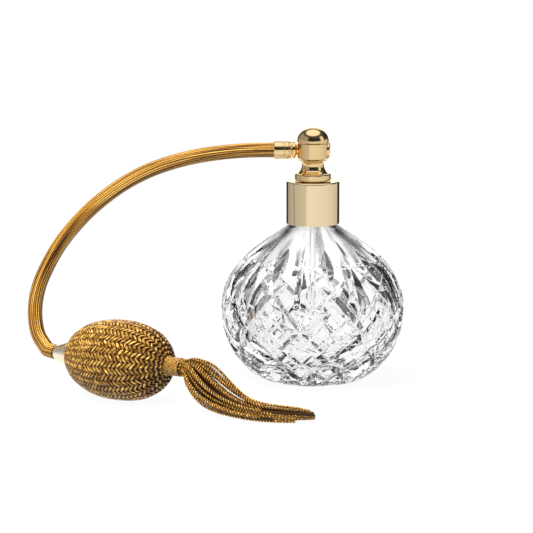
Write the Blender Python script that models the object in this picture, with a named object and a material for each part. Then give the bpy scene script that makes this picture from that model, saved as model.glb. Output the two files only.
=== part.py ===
"""Bulb perfume atomiser: cut-glass bottle, screw-on spray head, braided hose, squeeze bulb and tassel.

Origin: centre of the bottle's flat foot. +Z up, +X the way the nozzle sprays, the hose leaves along -X.
Outlines are written in millimetres as (radius, height) and become metres when the meshes are made.
"""
import math

import bmesh
import bpy
from mathutils import Matrix, Vector

MM = 0.001
GAP = 0.3                 # clearance between neighbouring solids, mm

# ---- driving dimensions, mm ----
BODY_OUTLINE = [(21.5, 0.0), (25.6, 1.5), (29.4, 4.0), (33.7, 8.0), (37.6, 13.0), (40.9, 20.0), (43.0, 28.0),
                (43.2, 36.0), (41.6, 44.0), (37.5, 52.0), (31.5, 59.0), (24.5, 65.0), (17.4, 70.0),
                (10.6, 74.5)]
CAVITY_OUTLINE = [(16.0, 8.5), (27.0, 12.5), (34.0, 20.0), (37.4, 30.0), (36.8, 41.0), (31.0, 52.0),
                  (20.0, 61.5), (10.5, 69.0), (6.8, 74.0)]
NECK_R = 9.0              # outside of the glass neck
NECK_BORE_R = 6.8
LIP_Z = 89.5
PITCH = 3.0               # neck thread
THREAD_SIDES = 30
THREAD_DEPTH = 0.9
MALE_Z = (80.2, 86.4)     # where the glass thread starts and ends
FEMALE_Z = (80.2, 85.4)   # where the liner's thread starts and ends
LINER_BORE_R = 10.3
LINER_R = 11.6
COLLAR_R = 12.65
COLLAR_Z = (74.6, 94.8)
FLANGE_R = 8.5
FLANGE_Z = (95.1, 98.4)
DRUM_R = 7.4
DRUM_Z = (105.1, 112.7)
DOME_R = 7.5
TOP_Z = 120.0
SHANK_R = 3.5
AIR_Z = 109.2             # height of the cross bore, the nozzle and the hose fitting
CROSS_BORE_R = 1.0
NOZZLE_R = 3.65
HOSE_R = 3.5
FERRULE_X = (-18.4, -10.2)
FERRULE_R = 4.3

BULB_CENTRE = Vector((-89.6, -47.3, 18.55))
BULB_TURN = math.radians(29.7)     # the bulb's axis, turned from +X towards -Y
BULB_R = 18.55
BULB_HALF = 27.6
TAIL_FULLNESS = 0.8       # below 1 the tail half of the bulb is fuller than an ellipse
NET_THICK = 0.75
RUBBER_WALL = 2.0
CONE_S = (-34.6, -26.3)            # the cone ferrule along the bulb's axis, from the bulb's centre
SLEEVE_S = (27.1, 33.8)
SLEEVE_R = 4.65
BALL_R = 1.4
BALL_S = 30.2
HOSE_PIVOT = Vector((-100.0, -20.0, 85.0))

# Hose route from the head to the bulb, mm, at the middle of the hose
HOSE_ROUTE = [(-14.4, 0, 109.2), (-20.2, 0, 109.2), (-31.5, 0, 109.0), (-42.7, -0.3, 108.1),
              (-53.8, -0.8, 106.5), (-64.8, -1.5, 104.0), (-75.5, -2.5, 100.5), (-85.6, -3.8, 95.7),
              (-94.9, -5.3, 89.8), (-103.7, -7.0, 82.8), (-111.5, -9.0, 75.0), (-118.5, -11.0, 66.4),
              (-124.0, -13.3, 57.1), (-128.4, -15.8, 47.0), (-130.2, -18.8, 36.3), (-128.7, -22.8, 26.0),
              (-123.9, -27.8, 19.2), (-120.2, -29.9, 18.6)]

# Tassel: middle line and half width and half height of the hanging threads, mm
TASSEL_STATIONS = [((-58.7, -64.9, 18.6), 3.8, 3.8), ((-58.0, -65.3, 18.5), 4.1, 4.1),
                   ((-55.4, -67.6, 17.6), 5.8, 5.8), ((-52.1, -70.5, 14.4), 7.6, 7.7),
                   ((-46.8, -75.5, 10.0), 8.6, 8.1), ((-40.2, -81.5, 7.0), 8.2, 6.5),
                   ((-32.0, -87.6, 4.9), 7.0, 4.5), ((-24.7, -91.5, 4.0), 6.0, 3.7),
                   ((-15.2, -93.5, 3.5), 5.0, 3.2), ((-7.0, -92.0, 2.8), 3.8, 2.5),
                   ((1.1, -88.4, 1.5), 1.6, 1.2)]

AXIS_Z = Vector((0, 0, 1))
BULB_AXIS = Vector((math.cos(BULB_TURN), -math.sin(BULB_TURN), 0))


# ---- helpers ----
def material(name, colour, roughness, metallic=0.0, transmission=0.0):
    mat = bpy.data.materials.new(name)
    mat.use_nodes = True
    shader = mat.node_tree.nodes["Principled BSDF"]
    shader.inputs["Base Color"].default_value = (*colour, 1.0)
    shader.inputs["Roughness"].default_value = roughness
    shader.inputs["Metallic"].default_value = metallic
    shader.inputs["Transmission Weight"].default_value = transmission
    return mat


def place(name, bm, mat, parent=None, matrix=None):
    """Make one object from a bmesh in mm. matrix is the object's world placement, in metres."""
    bmesh.ops.recalc_face_normals(bm, faces=bm.faces)
    bmesh.ops.scale(bm, vec=(MM, MM, MM), verts=bm.verts)
    mesh = bpy.data.meshes.new(name)
    bm.to_mesh(mesh)
    bm.free()
    mesh.materials.append(mat)
    mesh.shade_smooth()
    mesh.set_sharp_from_angle(angle=math.radians(40))
    obj = bpy.data.objects.new(name, mesh)
    bpy.context.scene.collection.objects.link(obj)
    if parent is not None:
        obj.parent = parent
    obj.matrix_world = matrix or Matrix.Identity(4)
    return obj


def revolve(loop, segments):
    """Turn a closed outline of (radius, height) points about Z. A radius of zero makes a pole."""
    bm = bmesh.new()
    rings = []
    for radius, height in loop:
        if radius < 1e-6:
            rings.append([bm.verts.new((0, 0, height))])
            continue
        ring = []
        for i in range(segments):
            turn = 2 * math.pi * i / segments
            ring.append(bm.verts.new((radius * math.cos(turn), radius * math.sin(turn), height)))
        rings.append(ring)
    for a, b in zip(rings, rings[1:] + rings[:1]):
        if len(a) == 1 and len(b) == 1:
            continue
        for i in range(segments):
            j = (i + 1) % segments
            corners = [a[i % len(a)], a[j % len(a)], b[j % len(b)], b[i % len(b)]]
            unique = list(dict.fromkeys(corners))
            bm.faces.new(unique)
    return bm


def smooth_points(points, spacing=None, steps=8):
    """Catmull-Rom curve through the points; with a spacing, read at even lengths along it."""
    pts = [Vector(p) for p in points]
    pts = [2 * pts[0] - pts[1]] + pts + [2 * pts[-1] - pts[-2]]
    fine = []
    for p0, p1, p2, p3 in zip(pts, pts[1:], pts[2:], pts[3:]):
        for k in range(steps):
            t = k / steps
            fine.append(0.5 * (2 * p1 + (p2 - p0) * t + (2 * p0 - 5 * p1 + 4 * p2 - p3) * t ** 2
                               + (3 * p1 - p0 - 3 * p2 + p3) * t ** 3))
    fine.append(pts[-2])
    if spacing is None:
        return fine
    total = sum((b - a).length for a, b in zip(fine, fine[1:]))
    count = round(total / spacing)
    even = [fine[0]]
    walked = 0.0
    for a, b in zip(fine, fine[1:]):
        length = (b - a).length
        while len(even) < count and walked + length >= total * len(even) / count:
            even.append(a.lerp(b, (total * len(even) / count - walked) / length))
        walked += length
    even.append(fine[-1])
    return even


def arc(centre, radius, start, end, steps):
    """Points on an arc in an outline, angles in degrees from the radius axis."""
    turns = [math.radians(start + (end - start) * k / steps) for k in range(steps + 1)]
    return [(centre[0] + radius * math.cos(t), centre[1] + radius * math.sin(t)) for t in turns]


def along(axis, origin):
    """World matrix that puts an outline's Z along an axis, its zero at origin (mm)."""
    turn = AXIS_Z.rotation_difference(Vector(axis)).to_matrix().to_4x4()
    return Matrix.Translation(Vector(origin) * MM) @ turn


def empty(name, location, parent=None):
    obj = bpy.data.objects.new(name, None)
    bpy.context.scene.collection.objects.link(obj)
    obj.parent = parent
    obj.matrix_world = Matrix.Translation(Vector(location) * MM)
    bpy.context.view_layer.update()
    return obj


def turned(name, loop, mat, segments=32, parent=None, axis=None, origin=(0, 0, 0)):
    matrix = along(axis, origin) if axis is not None else Matrix.Translation(Vector(origin) * MM)
    return place(name, revolve(loop, segments), mat, parent, matrix)


def thread_height(phase):
    """Height of one thread ridge, 0 to 1, for a place counted in pitches from the ridge's middle."""
    away = abs((phase + 0.5) % 1.0 - 0.5) * PITCH
    crest_half = 0.25
    foot_half = 0.7
    return min(1.0, max(0.0, (foot_half - away) / (foot_half - crest_half)))


def thread_fade(height, zone):
    """The ridge grows out of the wall over half a millimetre at both ends of its zone."""
    return min(1.0, max(0.0, min(height - zone[0], zone[1] - height) / 0.5))


def threaded_rings(bm, radius, depth, zone, shift, segments):
    """Rings up a threaded wall. depth is the ridge height: outward when positive, inward when negative."""
    levels = round((zone[1] - zone[0]) / 0.45)
    rings = []
    for level in range(levels + 1):
        height = zone[0] + (zone[1] - zone[0]) * level / levels
        ring = []
        for i in range(segments):
            turn = 2 * math.pi * i / segments
            ridge = thread_height(height / PITCH - turn / (2 * math.pi) - shift) * thread_fade(height, zone)
            r = radius + depth * ridge
            ring.append(bm.verts.new((r * math.cos(turn), r * math.sin(turn), height)))
        rings.append(ring)
    return rings


def bridge(bm, rings):
    """Join rings of the same count into one closed skin."""
    count = len(rings[0])
    for a, b in zip(rings, rings[1:] + rings[:1]):
        for i in range(count):
            j = (i + 1) % count
            bm.faces.new((a[i], a[j], b[j], b[i]))


def plain_rings(bm, outline, segments):
    rings = []
    for radius, height in outline:
        ring = []
        for i in range(segments):
            turn = 2 * math.pi * i / segments
            ring.append(bm.verts.new((radius * math.cos(turn), radius * math.sin(turn), height)))
        rings.append(ring)
    return rings


def cut(target, cutter):
    """Exact Boolean cut; the cutter stays as a hidden guide."""
    cutter.hide_render = True
    cutter.display_type = "WIRE"
    modifier = target.modifiers.new("cut_" + cutter.name, "BOOLEAN")
    modifier.operation = "DIFFERENCE"
    modifier.object = cutter


# ---- bottle ----
def make_bottle(mats):
    segments = THREAD_SIDES
    bm = bmesh.new()
    neck_foot = [(NECK_R, 76.0)]
    lip = [(NECK_R, LIP_Z - 0.6), (NECK_R - 0.6, LIP_Z), (NECK_BORE_R + 0.4, LIP_Z),
           (NECK_BORE_R, LIP_Z - 0.4)]
    rings = plain_rings(bm, BODY_OUTLINE + neck_foot, segments)
    rings += threaded_rings(bm, NECK_R, THREAD_DEPTH, MALE_Z, 0.0, segments)
    rings += plain_rings(bm, lip + CAVITY_OUTLINE[::-1], segments)
    for a, b in zip(rings, rings[1:]):
        for i in range(segments):
            j = (i + 1) % segments
            bm.faces.new((a[i], a[j], b[j], b[i]))
    for ring, height in ((rings[0], BODY_OUTLINE[0][1]), (rings[-1], CAVITY_OUTLINE[0][1])):
        middle = bm.verts.new((0, 0, height))
        for i in range(segments):
            bm.faces.new((ring[i], ring[(i + 1) % segments], middle))
    place("glass_bottle", bm, mats["glass"])


# ---- neck seal and collar ----
def make_gasket(mats):
    lift = empty("lift_off_axis", (0, 0, LIP_Z))
    low = LIP_Z + GAP
    loop = [(4.9, low), (8.9, low), (8.9, low + 1.0), (4.9, low + 1.0)]
    turned("neck_gasket", loop, mats["rubber"], 24, lift)
    return lift


def make_collar(mats, head):
    axis = empty("collar_turn_axis", (0, 0, COLLAR_Z[0]), head)
    low, high = COLLAR_Z
    wall = 0.7
    rim = 0.5
    hole = SHANK_R + 0.5
    shell = [(COLLAR_R - wall, low), (COLLAR_R - 0.2, low), (COLLAR_R, low + 0.25), (COLLAR_R, high - rim)]
    shell += arc((COLLAR_R - rim, high - rim), rim, 22.5, 90, 3)
    shell += [(hole, high), (hole, high - wall), (COLLAR_R - wall, high - wall)]
    turned("collar_shell", shell, mats["gold"], 36, axis)

    top = high - wall - GAP
    under = top - 1.2
    bm = bmesh.new()
    segments = THREAD_SIDES
    rings = plain_rings(bm, [(LINER_BORE_R + 0.3, low + 1.2)], segments)
    rings += threaded_rings(bm, LINER_BORE_R, -THREAD_DEPTH, FEMALE_Z, 0.5, segments)
    rings += plain_rings(bm, [(LINER_BORE_R, under), (hole, under), (hole, top), (LINER_R - 0.4, top),
                              (LINER_R, top - 0.4), (LINER_R, low + 1.2)], segments)
    bridge(bm, rings)
    place("threaded_liner", bm, mats["liner"], axis)


# ---- spray head ----
def make_stem(mats, head):
    foot = 88.8
    bore = 1.8
    channel = 0.9
    spigot_top = 107.5
    low, high = FLANGE_Z
    loop = [(bore, foot), (SHANK_R, foot), (SHANK_R, low), (FLANGE_R - 0.4, low), (FLANGE_R, low + 0.5),
            (FLANGE_R, high - 0.6), (FLANGE_R - 0.3, high - 0.2), (FLANGE_R - 0.9, high)]
    loop += [(7.0, 98.9), (5.9, 99.9), (5.35, 101.2), (5.2, 102.3), (5.45, 103.3), (6.1, 104.1), (6.9, 104.5),
             (6.9, 104.8)]
    loop += [(2.5, 104.8), (2.5, spigot_top), (channel, spigot_top), (channel, 97.0), (bore, 97.0)]
    turned("head_stem", loop, mats["gold"], 28, head)

    nut = [(SHANK_R + GAP, 88.8), (4.6, 88.8), (4.6, 91.1), (8.8, 91.1), (8.8, 92.3), (SHANK_R + GAP, 92.3)]
    turned("retaining_nut", nut, mats["brass"], 20, head)

    tube = [(0.9, 10.0), (1.5, 10.0), (1.5, 96.7), (0.9, 96.7)]
    turned("dip_tube", tube, mats["tube"], 12, head)


def make_drum(mats, head):
    low, high = DRUM_Z
    loop = [(2.8, low), (DRUM_R - 0.5, low), (DRUM_R, low + 0.5), (DRUM_R, high - 0.3), (DRUM_R - 0.3, high),
            (3.3, high), (3.3, high - 1.5), (0.0, high - 1.5), (0.0, 107.8), (2.8, 107.8)]
    drum = turned("spray_drum", loop, mats["gold"], 28, head)
    across = [(0.0, -9.0), (2.3, -9.0), (2.3, -3.2), (CROSS_BORE_R, -3.2), (CROSS_BORE_R, 3.2), (1.9, 3.2),
              (1.9, 9.0), (0.0, 9.0)]
    cut(drum, turned("cross_bore_cutter", across, mats["gold"], 16, None, (1, 0, 0), (0, 0, AIR_Z)))
    up = [(0.0, 107.0), (0.9, 107.0), (0.9, AIR_Z), (0.0, AIR_Z)]
    cut(drum, turned("feed_bore_cutter", up, mats["gold"], 12))
    flat = bmesh.new()
    bmesh.ops.create_cube(flat, size=2.0, matrix=Matrix.Diagonal((2.0, 8.0, 8.0, 1.0)))
    cut(drum, place("nozzle_flat_cutter", flat, mats["gold"], None,
                    Matrix.Translation(Vector((8.2, 0, AIR_Z)) * MM)))

    seam = high + GAP
    dome = [(0.0, seam - 1.2), (3.0, seam - 1.2), (3.0, seam), (DOME_R - 0.15, seam)]
    height = TOP_Z - seam
    for k in range(7):
        t = math.radians(90 * k / 7)
        dome.append((DOME_R * math.cos(t) ** 0.9, seam + 0.3 + (height - 0.3) * math.sin(t)))
    dome.append((0.0, TOP_Z))
    turned("dome_cap", dome, mats["gold"], 28, head)


def make_fittings(mats, head):
    """Nozzle on +X, and the hose fitting on -X; both turned about the cross bore."""
    centre = (0, 0, AIR_Z)
    nozzle = [(0.5, 3.6), (1.6, 3.6), (1.6, 6.5), (NOZZLE_R, 6.5), (NOZZLE_R, 7.6), (NOZZLE_R - 0.4, 8.0),
              (2.0, 8.0), (1.5, 7.7), (0.5, 7.7)]
    turned("nozzle_insert", nozzle, mats["gold"], 20, head, (1, 0, 0), centre)

    nipple = [(1.0, 3.6), (2.0, 3.6), (2.0, 7.7), (2.7, 7.75), (2.9, 8.0), (3.9, 8.3), (4.0, 8.6), (4.0, 9.5),
              (3.8, 9.8), (2.0, 9.8), (2.0, 14.0), (1.0, 14.0)]
    turned("inlet_nipple", nipple, mats["gold"], 20, head, (-1, 0, 0), centre)

    near, far = -FERRULE_X[1], -FERRULE_X[0]
    ferrule = [(2.3, near), (FERRULE_R - 0.3, near), (FERRULE_R, near + 0.3), (FERRULE_R, far - 0.4),
               (FERRULE_R - 0.2, far), (HOSE_R + GAP, far), (HOSE_R + GAP, near + 0.9), (2.3, near + 0.9)]
    turned("hose_ferrule", ferrule, mats["gold"], 20, head, (-1, 0, 0), centre)


def make_hose(mats, head):
    points = smooth_points(HOSE_ROUTE[:-1], spacing=4 * HOSE_R)
    points.append(Vector(HOSE_ROUTE[-1]))     # a short straight end that meets the cone squarely
    curve = bpy.data.curves.new("air_hose", "CURVE")
    curve.dimensions = "3D"
    curve.bevel_depth = HOSE_R * MM
    curve.bevel_resolution = 2
    curve.render_resolution_u = 0
    curve.use_fill_caps = True
    spline = curve.splines.new("POLY")
    spline.points.add(len(points) - 1)
    for slot, point in zip(spline.points, points):
        slot.co = (*(point * MM), 1.0)
    curve.materials.append(mats["thread"])
    hose = bpy.data.objects.new("air_hose", curve)
    bpy.context.scene.collection.objects.link(hose)
    hose.parent = head
    hose.matrix_world = Matrix.Identity(4)


# ---- bulb ----
def ellipse_part(half, radius, low_r, high_r, steps):
    """Outline along an ellipse, from its low end at radius low_r to its high end at radius high_r."""
    start = -math.acos(min(1.0, low_r / radius))
    end = math.acos(min(1.0, high_r / radius))
    turns = [start + (end - start) * k / steps for k in range(steps + 1)]
    outline = []
    for t in turns:
        reach = math.sin(t) if t < 0 else math.sin(t) ** TAIL_FULLNESS
        outline.append((radius * math.cos(t), half * reach))
    return outline


def make_bulb(mats, pivot):
    put = {"parent": pivot, "axis": BULB_AXIS, "origin": BULB_CENTRE}
    net = ellipse_part(BULB_HALF, BULB_R, 6.3, 5.2, 10)
    net += ellipse_part(BULB_HALF - NET_THICK, BULB_R - NET_THICK, 5.7, 4.6, 8)[::-1]
    turned("net_cover", net, mats["thread"], 28, **put)

    skin = NET_THICK + 2 * GAP
    outer = ellipse_part(BULB_HALF - skin, BULB_R - skin, 2.9, 3.9, 8)
    inner = ellipse_part(BULB_HALF - skin - RUBBER_WALL, BULB_R - skin - RUBBER_WALL, 1.7, 2.8, 8)
    rubber = [(1.7, -31.6), (2.9, -31.6)] + outer + [(3.9, 30.5), (2.8, 30.5)] + inner[::-1]
    turned("rubber_bulb", rubber, mats["rubber"], 24, **put)

    low, high = CONE_S
    cone = [(1.7, low), (3.2, low), (3.45, low + 0.3), (3.6, low + 1.4), (5.8, high - 1.2), (6.0, high - 0.8),
            (6.0, high), (3.2, high), (3.2, low + 2.6), (1.7, low + 2.6)]
    turned("bulb_ferrule", cone, mats["cream_gold"], 24, **put)
    barb = [(0.8, low + 0.8), (1.4, low + 0.8), (1.4, -24.0), (0.8, -24.0)]
    turned("bulb_barb", barb, mats["brass"], 12, **put)


def make_tail(mats, pivot):
    tail = empty("bulb_squeeze_axis", BULB_CENTRE, pivot)
    put = {"parent": tail, "axis": BULB_AXIS, "origin": BULB_CENTRE}
    low, high = SLEEVE_S
    sleeve = [(4.2, low), (SLEEVE_R, low), (SLEEVE_R, high), (4.2, high)]
    turned("tail_sleeve", sleeve, mats["thread"], 24, **put)
    seat = BALL_S + BALL_R + GAP
    valve = [(1.8, 25.5), (2.5, 25.5), (2.5, 33.2), (0.8, 33.2), (0.8, seat), (1.8, seat)]
    turned("tail_valve_body", valve, mats["brass"], 16, **put)
    retainer = [(0.6, 26.2), (1.5, 26.2), (1.5, 27.1), (0.6, 27.1)]
    turned("ball_retainer", retainer, mats["brass"], 12, **put)
    knot = [(0.0, high + GAP), (3.6, high + GAP), (3.6, high + 0.9), (3.0, high + 1.2), (0.0, high + 1.2)]
    turned("tassel_knot", knot, mats["thread"], 16, **put)

    ball_path = empty("ball_lift_axis", BULB_CENTRE + BULB_AXIS * BALL_S, tail)
    ball = bmesh.new()
    bmesh.ops.create_uvsphere(ball, u_segments=12, v_segments=8, radius=BALL_R)
    centre = Matrix.Translation((BULB_CENTRE + BULB_AXIS * BALL_S) * MM)
    place("inlet_ball", ball, mats["steel"], ball_path, centre)
    return tail


def make_tassel(mats, tail):
    """Threads of the tassel as one plain closed body, bent down to the table."""
    centres = smooth_points([s[0] for s in TASSEL_STATIONS], steps=1)
    sizes = smooth_points([(s[1], s[2], 0) for s in TASSEL_STATIONS], steps=1)
    segments = 14
    bm = bmesh.new()
    rings = []
    for k, (centre, size) in enumerate(zip(centres, sizes)):
        ahead = centres[min(k + 1, len(centres) - 1)] - centres[max(k - 1, 0)]
        side = ahead.cross(AXIS_Z).normalized()
        up = side.cross(ahead).normalized()
        ring = []
        for i in range(segments):
            turn = 2 * math.pi * i / segments
            point = centre + side * size.x * math.cos(turn) + up * size.y * math.sin(turn)
            point.z = max(point.z, 0.1)
            ring.append(bm.verts.new(point))
        rings.append(ring)
    for a, b in zip(rings, rings[1:]):
        for i in range(segments):
            j = (i + 1) % segments
            bm.faces.new((a[i], a[j], b[j], b[i]))
    bm.faces.new(rings[0])
    bm.faces.new(rings[-1])
    place("tassel_skirt", bm, mats["thread"], tail, Matrix.Identity(4))


def main():
    for obj in list(bpy.data.objects):
        bpy.data.objects.remove(obj, do_unlink=True)
    mats = {
        "glass": material("glass", (0.95, 0.96, 0.97), 0.02, 0.0, 1.0),
        "gold": material("polished_gold", (0.83, 0.66, 0.38), 0.12, 1.0),
        "cream_gold": material("cream_gold", (0.86, 0.80, 0.58), 0.3, 1.0),
        "brass": material("brass", (0.78, 0.57, 0.27), 0.3, 1.0),
        "steel": material("steel", (0.7, 0.7, 0.7), 0.2, 1.0),
        "rubber": material("black_rubber", (0.03, 0.03, 0.03), 0.7),
        "liner": material("white_liner", (0.85, 0.85, 0.83), 0.5),
        "tube": material("clear_tube", (0.9, 0.92, 0.92), 0.2, 0.0, 0.8),
        "thread": material("gold_thread", (0.62, 0.42, 0.12), 0.45, 0.4),
    }
    make_bottle(mats)
    lift = make_gasket(mats)
    head = empty("screw_rise_axis", (0, 0, FLANGE_Z[0]), lift)
    make_collar(mats, head)
    make_stem(mats, head)
    make_drum(mats, head)
    make_fittings(mats, head)
    make_hose(mats, head)
    pivot = empty("hose_bend_axis", HOSE_PIVOT, head)
    make_bulb(mats, pivot)
    tail = make_tail(mats, pivot)
    make_tassel(mats, tail)


main()
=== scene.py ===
"""Looks of the bulb perfume atomiser: crystal bottle, gold head, braided hose, netted bulb and tassel.

Outlines and sizes are in millimetres in the frame's axes; meshes are made in metres.
"""
import math

import bmesh
import bpy
import numpy as np
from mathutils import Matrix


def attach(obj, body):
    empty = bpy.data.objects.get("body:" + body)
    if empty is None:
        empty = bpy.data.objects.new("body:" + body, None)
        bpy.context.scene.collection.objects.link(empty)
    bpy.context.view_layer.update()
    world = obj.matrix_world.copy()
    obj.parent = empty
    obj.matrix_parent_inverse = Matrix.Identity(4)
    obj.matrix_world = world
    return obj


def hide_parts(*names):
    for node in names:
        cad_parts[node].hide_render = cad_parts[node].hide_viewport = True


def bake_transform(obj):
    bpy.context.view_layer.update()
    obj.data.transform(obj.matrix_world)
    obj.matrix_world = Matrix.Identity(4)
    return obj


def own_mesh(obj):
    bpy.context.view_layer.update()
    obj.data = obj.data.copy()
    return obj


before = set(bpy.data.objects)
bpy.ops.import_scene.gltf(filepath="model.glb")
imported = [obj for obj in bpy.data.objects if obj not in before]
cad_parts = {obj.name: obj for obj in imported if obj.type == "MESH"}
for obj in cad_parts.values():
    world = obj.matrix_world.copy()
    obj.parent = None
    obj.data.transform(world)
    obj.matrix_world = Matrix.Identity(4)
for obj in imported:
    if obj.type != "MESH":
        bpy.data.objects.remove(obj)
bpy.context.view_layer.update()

MM = 0.001
rng = np.random.default_rng(7)
Z_AXIS = np.array([0.0, 0.0, 1.0])

# ---- sizes shared with the frame, mm ----
BODY_OUTLINE = [(21.5, 0.0), (25.6, 1.5), (29.4, 4.0), (33.7, 8.0), (37.6, 13.0), (40.9, 20.0), (43.0, 28.0),
                (43.2, 36.0), (41.6, 44.0), (37.5, 52.0), (31.5, 59.0), (24.5, 65.0), (17.4, 70.0),
                (10.6, 74.5)]
CAVITY_OUTLINE = [(16.0, 8.5), (27.0, 12.5), (34.0, 20.0), (37.4, 30.0), (36.8, 41.0), (31.0, 52.0),
                  (20.0, 61.5), (10.5, 69.0), (6.8, 74.0)]
NECK_R = 9.0
NECK_BORE_R = 6.8
LIP_Z = 89.5
PITCH = 3.0
THREAD_DEPTH = 0.9
MALE_Z = (80.2, 86.4)
AIR_Z = 109.2
HOSE_R = 3.5
BULB_CENTRE = np.array([-89.6, -47.3, 18.55])
BULB_TURN = math.radians(29.7)
BULB_AXIS = np.array([math.cos(BULB_TURN), -math.sin(BULB_TURN), 0.0])
BULB_SIDE = np.array([math.sin(BULB_TURN), math.cos(BULB_TURN), 0.0])
BULB_R = 18.55
BULB_HALF = 27.6
TAIL_FULLNESS = 0.8
HOSE_ROUTE = [(-14.4, 0, 109.2), (-20.2, 0, 109.2), (-31.5, 0, 109.0), (-42.7, -0.3, 108.1),
              (-53.8, -0.8, 106.5), (-64.8, -1.5, 104.0), (-75.5, -2.5, 100.5), (-85.6, -3.8, 95.7),
              (-94.9, -5.3, 89.8), (-103.7, -7.0, 82.8), (-111.5, -9.0, 75.0), (-118.5, -11.0, 66.4),
              (-124.0, -13.3, 57.1), (-128.4, -15.8, 47.0), (-130.2, -18.8, 36.3), (-128.7, -22.8, 26.0),
              (-123.9, -27.8, 19.2), (-120.2, -29.9, 18.6)]
# Each station: middle, half width and half height of the bundle of cords
TASSEL_STATIONS = [((-58.7, -64.9, 18.6), 3.8, 3.8), ((-58.0, -65.3, 18.5), 4.1, 4.1),
                   ((-55.4, -67.6, 17.6), 5.8, 5.8), ((-52.1, -70.5, 14.4), 7.6, 7.7),
                   ((-46.8, -75.5, 10.0), 8.6, 8.1), ((-40.2, -81.5, 7.0), 8.2, 6.5),
                   ((-32.0, -87.6, 4.9), 7.0, 4.5), ((-24.7, -91.5, 4.0), 6.0, 3.7),
                   ((-15.2, -93.5, 3.5), 5.0, 3.2), ((-7.0, -92.0, 2.8), 3.8, 2.5),
                   ((1.1, -88.4, 1.5), 1.6, 1.2)]

# ---- fineness of the meshes and their detail ----
HOSE_RINGS = 720
HOSE_SIDES = 132
HOSE_RIBS = 22
WEFT_PITCH = 0.9
BODY_ROWS = 300
CAVITY_ROWS = 70
SIDES_PER_COLUMN = 56
THREAD_ROW = 0.15
STAR_POINTS = 18
NET_BANDS = 36             # rows of slanted strokes round the bulb
STROKE_RINGS = 7
STROKE_SIDES = 6
SLEEVE_S = (23.6, 33.8)    # along the bulb's axis; its inner end stays hidden when the bulb is squeezed
SLEEVE_R = 4.55
SLEEVE_ROWS = 84
SLEEVE_SIDES = 90
CORDS = 44
LOOSE_CORDS = 2
CORD_R = 0.62
CORD_SIDES = 8
CORD_TWIST = 2.8           # length of one turn of the two plies
CORD_STEP = 0.42
GOLDEN_TURN = 2.39996      # spreads the cords evenly over the bundle, radians


# ---- curves and meshes ----
def spline_points(points, steps):
    """Catmull-Rom curve through the points, ends included."""
    pts = np.array(points, float)
    pts = np.vstack([2 * pts[0] - pts[1], pts, 2 * pts[-1] - pts[-2]])
    fine = []
    for p0, p1, p2, p3 in zip(pts, pts[1:], pts[2:], pts[3:]):
        for k in range(steps):
            t = k / steps
            fine.append(0.5 * (2 * p1 + (p2 - p0) * t + (2 * p0 - 5 * p1 + 4 * p2 - p3) * t ** 2
                               + (3 * p1 - p0 - 3 * p2 + p3) * t ** 3))
    fine.append(pts[-2])
    return np.array(fine)


def even_points(line, count):
    """The same line read at count evenly spaced places."""
    line = np.array(line, float)
    walked = np.concatenate([[0], np.cumsum(np.linalg.norm(np.diff(line, axis=0), axis=1))])
    places = np.linspace(0, walked[-1], count)
    return np.stack([np.interp(places, walked, line[:, k]) for k in range(line.shape[1])], 1), places


def smoothstep(x):
    x = np.clip(x, 0, 1)
    return x * x * (3 - 2 * x)


def add_object(name, mesh, mat, body, smooth=True, sharp=None):
    mesh.materials.append(mat)
    if smooth:
        mesh.shade_smooth()
        if sharp is not None:
            mesh.set_sharp_from_angle(angle=math.radians(sharp))
    obj = bpy.data.objects.new(name, mesh)
    bpy.context.scene.collection.objects.link(obj)
    if body is not None:
        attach(obj, body)
    return obj


def set_shade_and_roughness(mesh, shade_and_roughness):
    """One number for each vertex: on thread, painted shade that follows how high it stands in the weave,
    darkest where it is lowest; on glass, how rough it is.
    """
    layer = mesh.attributes.new("shade_and_roughness", "FLOAT", "POINT")
    layer.data.foreach_set("value", np.ravel(shade_and_roughness).astype(np.float32))


def corner_values(mesh, values):
    """Values given for each vertex, read out for each face corner."""
    corners = np.zeros(len(mesh.loops), np.int64)
    mesh.loops.foreach_get("vertex_index", corners)
    return np.array(values)[corners]


def tube_faces(first, rings, sides):
    """Faces of a closed-ended tube whose rings of vertices start at index first."""
    faces = []
    for a in range(rings - 1):
        for k in range(sides):
            n = (k + 1) % sides
            b = first + a * sides
            faces.append((b + k, b + n, b + n + sides, b + k + sides))
    faces.append(tuple(first + k for k in range(sides))[::-1])
    last = first + (rings - 1) * sides
    faces.append(tuple(last + k for k in range(sides)))
    return faces


def thread_mesh(name, verts, faces, uvs, shade_and_roughness):
    """A mesh of many threads, from lists: vertices in mm, faces, and each vertex's UV and painted shade
    value.
    """
    mesh = bpy.data.meshes.new(name)
    mesh.from_pydata((np.array(verts) * MM).tolist(), [], faces)
    mesh.uv_layers.new(name="UVMap").data.foreach_set("uv", corner_values(mesh, uvs).ravel())
    set_shade_and_roughness(mesh, shade_and_roughness)
    return mesh


def grid_mesh(name, points, closed_around=True, closed_along=False, caps=False, uv=None):
    """A mesh from an array of points, rows x columns x 3, in mm. Columns go round, rows go along."""
    rows, cols = points.shape[:2]
    verts = points.reshape(-1, 3) * MM
    row_pairs = [(r, (r + 1) % rows) for r in range(rows if closed_along else rows - 1)]
    c = np.arange(cols if closed_around else cols - 1)
    n = (c + 1) % cols
    quads = [np.stack([a * cols + c, a * cols + n, b * cols + n, b * cols + c], 1) for a, b in row_pairs]
    faces = np.concatenate(quads).tolist()
    if caps:
        faces.append(list(range(cols))[::-1])
        faces.append([(rows - 1) * cols + k for k in range(cols)])
    mesh = bpy.data.meshes.new(name)
    mesh.from_pydata(verts.tolist(), [], faces)
    if uv is not None:
        values = corner_values(mesh, uv.reshape(-1, 2))
        if closed_around:
            unwrap_seam(values, faces, uv)
        mesh.uv_layers.new(name="UVMap").data.foreach_set("uv", values.ravel())
    return mesh


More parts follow.
